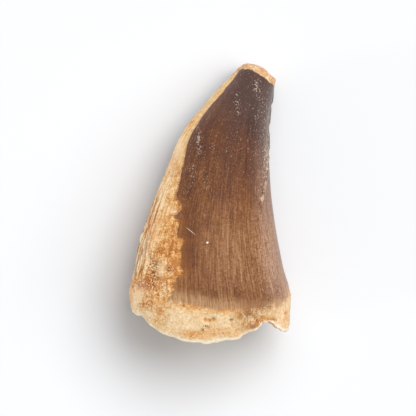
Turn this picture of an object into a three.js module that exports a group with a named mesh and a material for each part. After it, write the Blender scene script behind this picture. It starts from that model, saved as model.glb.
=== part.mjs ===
// A fossil mosasaur tooth, lying on its side.
//
// The crown is a curved, slightly flattened cone. Enamel covers it, except down the front edge and over the
// worn tip, where it has broken away from the dentine and ends in a low ledge. Under the crown is a short stump
// of root with a chipped rim and a rough, hollowed break. The tooth is one solid, as it grew.
//
// Lengths are in millimetres. +Y runs from the root to the tip, +X towards the rear edge, which is the hollow
// side of the tooth's curve, and +Z up. The origin is on the resting surface, under the middle of the tooth.
// Angles go round the tooth in degrees: 0 is the rear edge, 90 the upper face, 180 the front edge.

import * as THREE from "three";

// ---- Driving dimensions ----
const LENGTH = 45; // from the root's rim to the worn tip
const WIDTH = 26.2; // from front to rear, at the neck
const THICKNESS = 20.4; // as it lies, near the neck
const ENAMEL = 0.34; // thickness of the enamel, which is the height of its ledge

// ---- The crown ----
// Stations from the neck to the tip. front and rear are the two edges seen from above: [across, along], as
// shares of WIDTH from the middle and of LENGTH from the middle. top and under are the heights of the two faces
// over the resting surface, as shares of THICKNESS; where under is below zero the tooth is worn flat. ridge is
// the angle of the cutting ridge, and enamel the two angles where the enamel stops short of the front edge.
const STATIONS = [
  { front: [-0.505, -0.331], rear: [0.479, -0.335], top: 0.985, under: 0.004, ridge: 50, enamel: [120, 206] },
  { front: [-0.498, -0.304], rear: [0.457, -0.304], top: 0.989, under: -0.006, ridge: 49, enamel: [117, 208] },
  { front: [-0.485, -0.272], rear: [0.436, -0.27], top: 0.98, under: -0.004, ridge: 47, enamel: [113, 211] },
  { front: [-0.47, -0.227], rear: [0.417, -0.227], top: 0.955, under: 0, ridge: 45, enamel: [110, 213] },
  { front: [-0.426, -0.116], rear: [0.381, -0.116], top: 0.885, under: 0.002, ridge: 41, enamel: [115.5, 215] },
  { front: [-0.352, 0], rear: [0.353, 0], top: 0.8, under: 0.003, ridge: 35, enamel: [122.5, 210] },
  { front: [-0.277, 0.111], rear: [0.339, 0.111], top: 0.709, under: 0.003, ridge: 17, enamel: [130, 205] },
  { front: [-0.199, 0.222], rear: [0.333, 0.222], top: 0.61, under: 0.005, ridge: 1, enamel: [136, 203] },
  { front: [-0.087, 0.311], rear: [0.341, 0.307], top: 0.523, under: 0.012, ridge: -4, enamel: [133, 204] },
  { front: [0.006, 0.378], rear: [0.357, 0.364], top: 0.45, under: 0.024, ridge: -6, enamel: [128, 206] },
  { front: [0.088, 0.424], rear: [0.366, 0.4], top: 0.388, under: 0.042, ridge: -6, enamel: [131, 207] },
  { front: [0.161, 0.468], rear: [0.38, 0.429], top: 0.337, under: 0.062, ridge: -6, enamel: [139, 206] },
];
const TOP_FULLNESS = 2.1; // exponent of the section's upper half: 2 is an ellipse, more is squarer
const UNDER_FULLNESS = 2.15;
const FACE_BULGE = [[0, -1.5], [0.3, 0], [0.6, 0], [1, 0.7]]; // how far the faces run past the edges, along Y
const RIDGE = { height: 0.24, width: 0.6, neck: [0.2, 0.45], tip: [1, 0.8] }; // it dies out at both ends
const LEDGE = 0.16; // half the width of the ledge's slope
const LEDGE_WAVER = { angle: 1.6, count: 14 }; // the ledge's waver, and about how many waves it makes
const NECK_ENAMEL = { share: 0.3, until: 0.14 }; // the enamel thins out towards the neck

// The worn tip is a blunt dome.
const TIP_RISE = 1.5;
const TIP_FULLNESS = 3;

// ---- The root ----
// How far the rim stays short of the root's end, round the tooth: [angle, distance]. It has a tongue at the rear
// edge, with a notch beside it, and a small chip near the front edge. The scallops come over that.
const RIM = [
  [0, 2.3], [8, 1.9], [22, 1.3], [30, 2.1], [36, 2.8], [40, 2.75], [45, 2.8], [51, 1.8], [56, 1.3], [61, 1.1],
  [71, 0.3], [84, 0], [92, -0.3], [101, -0.3], [110, -0.2], [119, 0.5], [129, 1.2], [135, 1.7], [141, 2.5],
  [149, 4], [158, 4], [170, 5.1], [180, 5.8], [190, 5.7], [200, 5.2], [212, 4.9], [226, 3.4], [240, 2.2],
  [250, 2.7], [262, 1.9], [275, 1.5], [288, 1.8], [300, 2.6], [309, 3.6], [320, 4.2], [328, 3.6], [345, 2.6],
  [360, 2.3],
];
const SCALLOPS = { height: 0.22, count: 30 }; // about how many there are round the rim
const RIM_TAPER = { edges: 0.015, faces: 0.12, power: 1.8 }; // how much narrower the rim is than the neck
const BREAK_HEIGHT = 3.3; // of the middle of the break, over the root's end
const BREAK_SLOPE = { front: 0.5, rear: 0.12 }; // share of the radius over which it dips from the rim to that

// ---- Weathering ----
const LUMPS = { size: 3.2, height: 0.2 }; // low lumps of the bare dentine and root
const FLUTES = { across: 1.7, along: 9, height: 0.3, until: 0.6 }; // lengthwise grooves low on the front edge
const RUBBLE = { size: 2.2, height: 0.6 }; // of the root's break
const TIP_LUMPS = { size: 1.5, height: 0.2 };
// Pits in the front edge and the root, on the upper face: [across, along].
const PITS = [
  { at: [-9.4, -10.6], radius: 1.2, depth: 0.45 },
  { at: [-5.9, -2.2], radius: 0.9, depth: 0.35 },
  { at: [-0.2, -18.9], radius: 1.1, depth: 0.35 },
  { at: [7.6, -18.2], radius: 1.5, depth: 0.6 },
];

// ---- Mesh ----
// Columns of the skin run lengthwise. One follows the cutting ridge, and two each of the enamel's ledges.
const COLUMNS = { upper: 20, bare: 21, under: 35 };
const RINGS = { breakFace: 11, root: 6, crown: 38, tip: 5 };

const { lerp, degToRad, radToDeg } = THREE.MathUtils;
const ramp = (low, high, x) => {
  const u = THREE.MathUtils.clamp((x - low) / (high - low), 0, 1);
  return u * u * (3 - 2 * u);
};
const bump = (distance, radius) => Math.exp(-((distance / radius) ** 2));

// The height of a line given by [place, height] pairs in rising order.
function along(pairs, place) {
  const next = pairs.findIndex(([p]) => p > place);
  if (next < 0) return pairs.at(-1)[1];
  if (next === 0) return pairs[0][1];
  const [p0, h0] = pairs[next - 1];
  const [p1, h1] = pairs[next];
  return lerp(h0, h1, (place - p0) / (p1 - p0));
}

// A repeatable number from -1 to 1 for each point of a whole-number lattice.
function latticeValue(i, j, k) {
  let h = Math.imul(i, 374761393) ^ Math.imul(j, 668265263) ^ Math.imul(k, 1440662683);
  h = Math.imul(h ^ (h >>> 13), 1274126177);
  return ((h ^ (h >>> 16)) >>> 0) / 2147483648 - 1;
}

// Smooth noise from -1 to 1, with lumps about one unit across.
function noise(x, y, z) {
  const [i, j, k] = [Math.floor(x), Math.floor(y), Math.floor(z)];
  const [u, v, w] = [ramp(0, 1, x - i), ramp(0, 1, y - j), ramp(0, 1, z - k)];
  const row = (b, c) => lerp(latticeValue(i, j + b, k + c), latticeValue(i + 1, j + b, k + c), u);
  return lerp(lerp(row(0, 0), row(1, 0), v), lerp(row(0, 1), row(1, 1), v), w);
}

// Two sizes of lumps over each other. across is their size, and stretch their length along the tooth.
function roughness(p, across, stretch = across) {
  const [x, y, z] = [p.x / across, p.y / stretch, p.z / across];
  return 0.7 * noise(x, y, z) + 0.3 * noise(2.3 * x + 7, 2.3 * y + 3, 2.3 * z + 5);
}

// ---- Sections of the plain form ----
const smoothLine = (toPoint) => new THREE.CatmullRomCurve3(STATIONS.map(toPoint), false, "catmullrom", 0.5);
const frontEdge = smoothLine((s) => new THREE.Vector3(s.front[0] * WIDTH, s.front[1] * LENGTH, 0));
const rearEdge = smoothLine((s) => new THREE.Vector3(s.rear[0] * WIDTH, s.rear[1] * LENGTH, 0));
const heights = smoothLine((s) => new THREE.Vector3(s.top * THICKNESS, s.under * THICKNESS, 0));
const angles = smoothLine((s) => new THREE.Vector3(s.ridge, ...s.enamel));

// The section at share t of the way from the first station to the last.
function section(t) {
  const [front, rear, height, angle] = [frontEdge, rearEdge, heights, angles].map((line) => line.getPoint(t));
  const waver = (side) => LEDGE_WAVER.angle * noise(t * LEDGE_WAVER.count, side, 0);
  return {
    t,
    middle: new THREE.Vector3((front.x + rear.x) / 2, (front.y + rear.y) / 2, (height.x + height.y) / 2),
    half: new THREE.Vector3((rear.x - front.x) / 2, (rear.y - front.y) / 2, 0),
    rise: (height.x - height.y) / 2,
    bulge: along(FACE_BULGE, t),
    ridge: angle.x,
    enamel: [angle.y + waver(1), angle.z + waver(2)],
  };
}

// A point of a section, at share radius of the way out from its middle.
function sectionPoint({ middle, half, rise, bulge }, angle, radius) {
  const [c, s] = [Math.cos(degToRad(angle)), Math.sin(degToRad(angle))];
  const fullness = s > 0 ? TOP_FULLNESS : UNDER_FULLNESS;
  const reach = radius * (Math.abs(c) ** fullness + Math.abs(s) ** fullness) ** (-1 / fullness);
  const p = middle.clone().addScaledVector(half, c * reach);
  p.y += bulge * (s * radius) ** 2;
  p.z += rise * s * reach;
  return p;
}

// The angles of the columns at a section, starting at the cutting ridge.
function columnAngles({ half, ridge, enamel }) {
  const slope = radToDeg(LEDGE / half.x);
  const { upper, bare, under } = COLUMNS;
  const marks = [
    [0, ridge],
    [upper, enamel[0] - slope],
    [upper + 1, enamel[0] + slope],
    [upper + 1 + bare, enamel[1] - slope],
    [upper + 2 + bare, enamel[1] + slope],
    [upper + 2 + bare + under, ridge + 360],
  ];
  return Array.from({ length: marks.at(-1)[0] }, (_, column) => along(marks, column));
}

// ---- Rings of the plain form, from the middle of the break to the middle of the tip ----
const NECK = section(0);
const TIP = section(1);

// The rim's place along the tooth.
function rimY(angle) {
  const reach = SCALLOPS.count / (2 * Math.PI);
  const scallop = noise(reach * Math.cos(degToRad(angle)), reach * Math.sin(degToRad(angle)), 0);
  return -LENGTH / 2 + along(RIM, (angle + 360) % 360) + SCALLOPS.height * (1 + scallop) / 2;
}

// A point of the root: down is the share of the way from the neck to the rim.
function rootPoint(angle, down) {
  const faceShare = Math.sin(degToRad(angle)) ** 2;
  const taper = lerp(RIM_TAPER.edges, RIM_TAPER.faces, faceShare) * down ** RIM_TAPER.power;
  const p = sectionPoint(NECK, angle, 1 - taper);
  p.y = lerp(p.y, rimY(angle), down);
  return p;
}

// A point of the break, at share radius of the way out to the rim.
function breakPoint(angle, radius) {
  const p = rootPoint(angle, 1);
  const rearShare = (1 + Math.cos(degToRad(angle))) / 2;
  const dip = ramp(1, 1 - lerp(BREAK_SLOPE.front, BREAK_SLOPE.rear, rearShare), radius);
  p.x = lerp(NECK.middle.x, p.x, radius);
  p.y = lerp(p.y, BREAK_HEIGHT - LENGTH / 2, dip);
  p.z = lerp(NECK.middle.z, p.z, radius);
  return p;
}

function tipPoint(angle, radius) {
  const p = sectionPoint(TIP, angle, radius);
  p.y += TIP_RISE * (1 - radius ** TIP_FULLNESS);
  return p;
}

// Each ring has its zone, the section whose columns it follows, and the point at an angle.
function rings() {
  const list = [];
  for (let i = 0; i < RINGS.breakFace; i++) {
    const radius = (i / RINGS.breakFace) ** 0.8;
    list.push({ zone: "break", here: NECK, point: (angle) => breakPoint(angle, radius) });
  }
  for (let i = RINGS.root; i > 0; i--)
    list.push({ zone: "root", here: NECK, point: (angle) => rootPoint(angle, i / RINGS.root) });
  for (let i = 0; i <= RINGS.crown; i++) {
    const here = section(i / RINGS.crown);
    list.push({ zone: "crown", here, point: (angle) => sectionPoint(here, angle, 1) });
  }
  for (let i = 1; i <= RINGS.tip; i++) {
    const radius = Math.cos((i / RINGS.tip) * (Math.PI / 2)) ** 0.7;
    list.push({ zone: "tip", here: TIP, point: (angle) => tipPoint(angle, radius) });
  }
  return list;
}

// ---- Relief, along the surface's normal ----
function crownRelief({ t, half, ridge, enamel }, angle, p) {
  if (angle > enamel[0] && angle < enamel[1]) {
    const flutes = FLUTES.height * ramp(FLUTES.until, 0, t) * roughness(p, FLUTES.across, FLUTES.along);
    return LUMPS.height * roughness(p, LUMPS.size) + flutes;
  }
  const fromRidge = degToRad(Math.min(Math.abs(angle - ridge), Math.abs(angle - ridge - 360))) * half.x;
  const crest = RIDGE.height * bump(fromRidge, RIDGE.width) * ramp(...RIDGE.neck, t) * ramp(...RIDGE.tip, t);
  return ENAMEL * lerp(NECK_ENAMEL.share, 1, ramp(0, NECK_ENAMEL.until, t)) + crest;
}

function relief({ zone, here }, angle, p) {
  let height = LUMPS.height * roughness(p, LUMPS.size);
  if (zone === "crown") height = crownRelief(here, angle, p);
  if (zone === "break") height += RUBBLE.height * roughness(p, RUBBLE.size);
  if (zone === "tip") height = TIP_LUMPS.height * roughness(p, TIP_LUMPS.size);
  if (Math.sin(degToRad(angle)) > 0 && zone !== "break")
    for (const { at, radius, depth } of PITS)
      height -= depth * bump(Math.hypot(p.x - at[0], p.y - at[1]), radius);
  return height;
}

// ---- The solid ----
// The rings are joined into a skin, and then moved out along its normals by the relief. The first and the last
// ring are single points.
function toothGeometry() {
  const list = rings();
  const last = list.length - 1;
  const isPoint = (r) => r === 0 || r === last;
  const sides = columnAngles(NECK).length;
  const places = [];
  const firstOf = list.map((ring, r) => {
    const first = places.length;
    const ringAngles = isPoint(r) ? [90] : columnAngles(ring.here);
    places.push(...ringAngles.map((angle) => ({ ring, angle, plain: ring.point(angle) })));
    return first;
  });
  const indexOf = (r, side) => firstOf[r] + (isPoint(r) ? 0 : side % sides);
  const triangles = [];
  for (let r = 0; r < last; r++)
    for (let i = 0; i < sides; i++) {
      const [a, b, c, d] = [indexOf(r, i), indexOf(r, i + 1), indexOf(r + 1, i + 1), indexOf(r + 1, i)];
      if (!isPoint(r)) triangles.push(a, d, b);
      if (!isPoint(r + 1)) triangles.push(b, d, c);
    }
  const plain = new THREE.BufferGeometry().setFromPoints(places.map((place) => place.plain));
  plain.setIndex(triangles);
  plain.computeVertexNormals();
  const skin = places.map((place, i) => {
    const normal = new THREE.Vector3().fromBufferAttribute(plain.getAttribute("normal"), i);
    const p = place.plain.clone().addScaledVector(normal, relief(place.ring, place.angle, place.plain));
    return p.setZ(Math.max(p.z, 0));
  });
  return new THREE.BufferGeometry().setFromPoints(skin).setIndex(triangles);
}

const tooth = new THREE.Mesh(
  toothGeometry(),
  new THREE.MeshStandardMaterial({ color: 0x7d5641, roughness: 0.45, metalness: 0 }),
);
tooth.name = "tooth";

// The origin is under the middle of the tooth's own box.
tooth.geometry.computeBoundingBox();
const centre = tooth.geometry.boundingBox.getCenter(new THREE.Vector3());
tooth.geometry.translate(-centre.x, -centre.y, 0);

const group = new THREE.Group();
group.add(tooth);

export default group;
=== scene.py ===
"""A fossil mosasaur tooth lying on a plain pale floor, seen from above.

The CAD solid is replaced by a finer skin of the same form, made from the same stations, rim and relief, with
the small fibres, pores and rubble added. Lengths are in millimetres until the mesh is written, in metres.
Angles round the tooth are in degrees: 0 is the rear edge, 90 the upper face, 180 the front edge, 270 the
underside. "Across" is along X, towards the rear edge, and "along" is along Y, towards the tip.
"""

import math

import bpy
import numpy as np
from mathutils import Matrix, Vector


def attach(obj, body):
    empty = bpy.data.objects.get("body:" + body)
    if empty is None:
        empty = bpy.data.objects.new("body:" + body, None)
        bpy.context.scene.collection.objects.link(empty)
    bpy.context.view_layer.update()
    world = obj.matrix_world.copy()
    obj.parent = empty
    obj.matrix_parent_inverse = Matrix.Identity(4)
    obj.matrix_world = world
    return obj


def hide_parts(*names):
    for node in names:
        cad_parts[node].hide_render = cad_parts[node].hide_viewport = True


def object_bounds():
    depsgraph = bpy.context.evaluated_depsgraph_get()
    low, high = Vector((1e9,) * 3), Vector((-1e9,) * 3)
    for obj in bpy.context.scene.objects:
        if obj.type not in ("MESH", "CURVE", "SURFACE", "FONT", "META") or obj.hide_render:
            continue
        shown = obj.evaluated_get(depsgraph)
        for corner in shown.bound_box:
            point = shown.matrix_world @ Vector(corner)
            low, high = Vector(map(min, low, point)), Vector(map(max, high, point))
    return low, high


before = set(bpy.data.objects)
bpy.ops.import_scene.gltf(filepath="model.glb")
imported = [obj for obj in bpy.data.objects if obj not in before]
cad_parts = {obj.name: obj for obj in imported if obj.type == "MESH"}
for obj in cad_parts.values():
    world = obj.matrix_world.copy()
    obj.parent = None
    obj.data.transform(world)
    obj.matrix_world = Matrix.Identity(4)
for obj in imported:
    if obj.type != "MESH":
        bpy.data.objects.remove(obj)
cad_low, cad_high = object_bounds()

MM = 0.001

# ---- The form, as in the CAD model ----
LENGTH, WIDTH, THICKNESS, ENAMEL = 45.0, 26.2, 20.4, 0.34
# From the neck to the tip, as shares of the width, the length and the thickness: front edge across and along,
# rear edge across and along, top, under; then the angle of the cutting ridge, and the two angles where the
# enamel stops short of the front edge.
STATIONS = np.array(
    [
        [-0.505, -0.331, 0.479, -0.335, 0.985, 0.004, 50, 120, 206],
        [-0.498, -0.304, 0.457, -0.304, 0.989, -0.006, 49, 117, 208],
        [-0.485, -0.272, 0.436, -0.270, 0.980, -0.004, 47, 113, 211],
        [-0.470, -0.227, 0.417, -0.227, 0.955, 0.000, 45, 110, 213],
        [-0.426, -0.116, 0.381, -0.116, 0.885, 0.002, 41, 115.5, 215],
        [-0.352, 0.000, 0.353, 0.000, 0.800, 0.003, 35, 122.5, 210],
        [-0.277, 0.111, 0.339, 0.111, 0.709, 0.003, 17, 130, 205],
        [-0.199, 0.222, 0.333, 0.222, 0.610, 0.005, 1, 136, 203],
        [-0.087, 0.311, 0.341, 0.307, 0.523, 0.012, -4, 133, 204],
        [0.006, 0.378, 0.357, 0.364, 0.450, 0.024, -6, 128, 206],
        [0.088, 0.424, 0.366, 0.400, 0.388, 0.042, -6, 131, 207],
        [0.161, 0.468, 0.380, 0.429, 0.337, 0.062, -6, 139, 206],
    ]
)
TOP_FULLNESS, UNDER_FULLNESS = 2.1, 2.15
FACE_BULGE = [[0, -1.5], [0.3, 0], [0.6, 0], [1, 0.7]]
RIDGE_HEIGHT, RIDGE_WIDTH, RIDGE_NECK, RIDGE_TIP = 0.24, 0.6, (0.2, 0.45), (1, 0.8)
# Half the width of the slope at the enamel's edge, and how far, in degrees, and how often that edge wavers.
LEDGE = 0.16
LEDGE_WAVER, LEDGE_WAVES = 1.6, 14
NECK_ENAMEL_SHARE, NECK_ENAMEL_UNTIL = 0.3, 0.14
TIP_RISE, TIP_FULLNESS = 1.5, 3
# How far the rim stands in from the root's far end, by the angle round the tooth.
RIM = [
    [0, 2.3], [8, 1.9], [22, 1.3], [30, 2.1], [36, 2.8], [40, 2.75], [45, 2.8], [51, 1.8], [56, 1.3],
    [61, 1.1], [71, 0.3], [84, 0], [92, -0.3], [101, -0.3], [110, -0.2], [119, 0.5], [129, 1.2], [135, 1.7],
    [141, 2.5], [149, 4], [158, 4], [170, 5.1], [180, 5.8], [190, 5.7], [200, 5.2], [212, 4.9], [226, 3.4],
    [240, 2.2], [250, 2.7], [262, 1.9], [275, 1.5], [288, 1.8], [300, 2.6], [309, 3.6], [320, 4.2],
    [328, 3.6], [345, 2.6], [360, 2.3],
]  # fmt: skip
SCALLOP_HEIGHT, SCALLOP_COUNT = 0.22, 30
TAPER_EDGES, TAPER_FACES, TAPER_POWER = 0.015, 0.12, 1.8
BREAK_HEIGHT, BREAK_FRONT, BREAK_REAR = 3.3, 0.5, 0.12
LUMP_SIZE, LUMP_HEIGHT = 3.2, 0.2
FLUTE_ACROSS, FLUTE_ALONG, FLUTE_HEIGHT, FLUTE_UNTIL = 1.7, 9, 0.3, 0.6
RUBBLE_SIZE, RUBBLE_HEIGHT = 2.2, 0.6
TIP_LUMP_SIZE, TIP_LUMP_HEIGHT = 1.5, 0.2
# Pits in the root and the dentine: across, along, size, depth.
PITS = [[-9.4, -10.6, 1.2, 0.45], [-5.9, -2.2, 0.9, 0.35], [-0.2, -18.9, 1.1, 0.35], [7.6, -18.2, 1.5, 0.6]]

# ---- What is too small for the CAD model ----
# More pits, given in the same way.
SMALL_PITS = [
    [-4.6, -16.7, 0.26, 0.3], [-1.05, -18.95, 0.3, 0.25], [-0.35, -19.15, 0.28, 0.2],
    [0.25, -18.9, 0.3, 0.25], [-1.5, -20.6, 0.2, 0.25], [-0.6, -20.3, 0.2, 0.2], [3.05, -19.1, 0.24, 0.25],
    [4.4, -18.7, 0.3, 0.22], [5.2, -18.1, 0.2, 0.2], [9.05, -17.1, 0.24, 0.3], [10.0, -19.1, 0.24, 0.3],
    [11.7, -18.1, 0.22, 0.25], [7.4, -19.3, 0.34, 0.35], [8.2, -18.9, 0.26, 0.3], [-6.0, -2.5, 0.24, 0.3],
    [-5.6, -1.7, 0.2, 0.2], [-9.0, -9.9, 0.22, 0.25], [-9.5, -11.4, 0.26, 0.3], [-8.7, -12.4, 0.24, 0.25],
    [-10.3, -12.9, 0.22, 0.2], [-6.8, -11.2, 0.2, 0.2], [-7.0, -14.4, 0.2, 0.2], [-11.2, -13.0, 0.2, 0.2],
    [-6.9, 4.4, 0.18, 0.15],
]  # fmt: skip
# Depth of the pores at random places.
PORE_DEPTH = 0.28
# How the enamel's front edge wavers: place along the tooth, degrees towards the front.
FRONT_WAVES = [
    [-15.2, 1.5], [-13.6, 0.6], [-12, 1.3], [-11.1, -2.6], [-10.4, 0.4], [-9.6, -1], [-8.8, -0.9], [-8, 0.4],
    [-7.2, -2.3], [-6.4, -4], [-5.6, 1.8], [-4.8, 2.3], [-4, 0.5], [-3.2, -1], [-2.4, 4.6], [-1.6, -2.9],
    [-0.8, -3.3], [0, 1.5], [0.8, 3.3], [2.4, 2.5], [3.2, 1], [4.8, 1.3], [5.5, -0.2], [9, 0.2], [12, 0.8],
    [13.6, 2], [15.2, 2.6], [16, 1.3], [19, 0.6],
]  # fmt: skip
# Finer waver of the enamel's two side edges: how often two sizes of wave come along the crown, and the height
# of the smaller ones in degrees. The larger ones are one degree high.
FINE_WAVES, FINER_WAVES, FINER_WAVER = 45, 110, 0.5
# Finer scallops of the rim: how fast they come, height, and the layer of noise they are taken from.
FINE_SCALLOPS = [[13, 0.13, 4], [31, 0.09, 8]]
# The chips in the cutting ridge: the share of its height that they take away, and where along the crown they
# begin and are full.
CHIP_SHARE, CHIPPED_FROM = 0.6, (0.36, 0.46)
# Fine relief, in layers: height, size of the lumps across and, where it differs, along.
FIBRE_LAYERS = [[0.19, 0.42, 6.0], [0.19, 0.95, 9.0]]
CRUMB_LAYERS = [[0.3, 0.55], [0.2, 0.3]]
ROOT_AND_TIP_LAYERS = [[0.08, 0.8]]
GRAIN_LAYERS = [[0.04, 0.45]]
CHIP_LAYERS = [[1, 1.1], [0.5, 0.4]]
# How far the enamel stops short of the top of the last station, and how far it reaches past the first, by the
# angle round the tooth.
TIP_EDGE = [
    [0, 1.5], [35, 1.3], [46, 1.15], [58, 0.98], [72, 0.74], [82, 0.62], [90, 0.44], [101, 0.33], [128, 0.38],
    [134, 0.55], [139, 0.9], [205, 0.8], [330, 1.4],
]  # fmt: skip
NECK_EDGE = [
    [0, -0.8], [12, 0.1], [26, 1.5], [36, 1.9], [44, 1.9], [52, 1.5], [65, 1.07], [86, 0.86], [97, 0.43],
    [107, 0], [117, 0], [206, 0.4], [300, 0.6],
]  # fmt: skip
# How sharply the enamel ends at the neck, by the angle: it thins out over the root towards the rear.
FOOT_SHARPNESS = [[0, 0.3], [42, 0.3], [66, 1], [300, 1], [330, 0.3]]

# ---- Where the colours are ----
# The enamel's tone by the place along the tooth: 0 is the darkest, near the tip, 1 the lightest, at the neck.
TONE_ALONG = [
    [-17, 0.66], [-14, 0.69], [-10.5, 0.72], [-6.5, 0.71], [-3.5, 0.61], [1, 0.5], [6, 0.4], [12, 0.29],
    [20, 0.14],
]  # fmt: skip
# How ochre the dentine is beside the enamel, by the place along the tooth.
OCHRE_ALONG = [
    [-16, 0.2], [-14.5, 0.5], [-12, 0.9], [-8, 0.95], [-5, 0.8], [-1, 1.0], [2, 0.75], [6, 0.55], [10, 0.42],
    [20, 0.15],
]  # fmt: skip
# How far the enamel's and the dentine's colours change beside the edge between them.
EDGE_REACH = 1.6
# How high the dull band at the foot of the enamel is.
BAND_HEIGHT = 1.6
# A painted sheen, paler and greyer, on the enamel's rear edge: its middle, and how far from it it is full and
# gone, in degrees.
SHEEN_MIDDLE, SHEEN_FULL, SHEEN_GONE = 4, 28, 56
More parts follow.
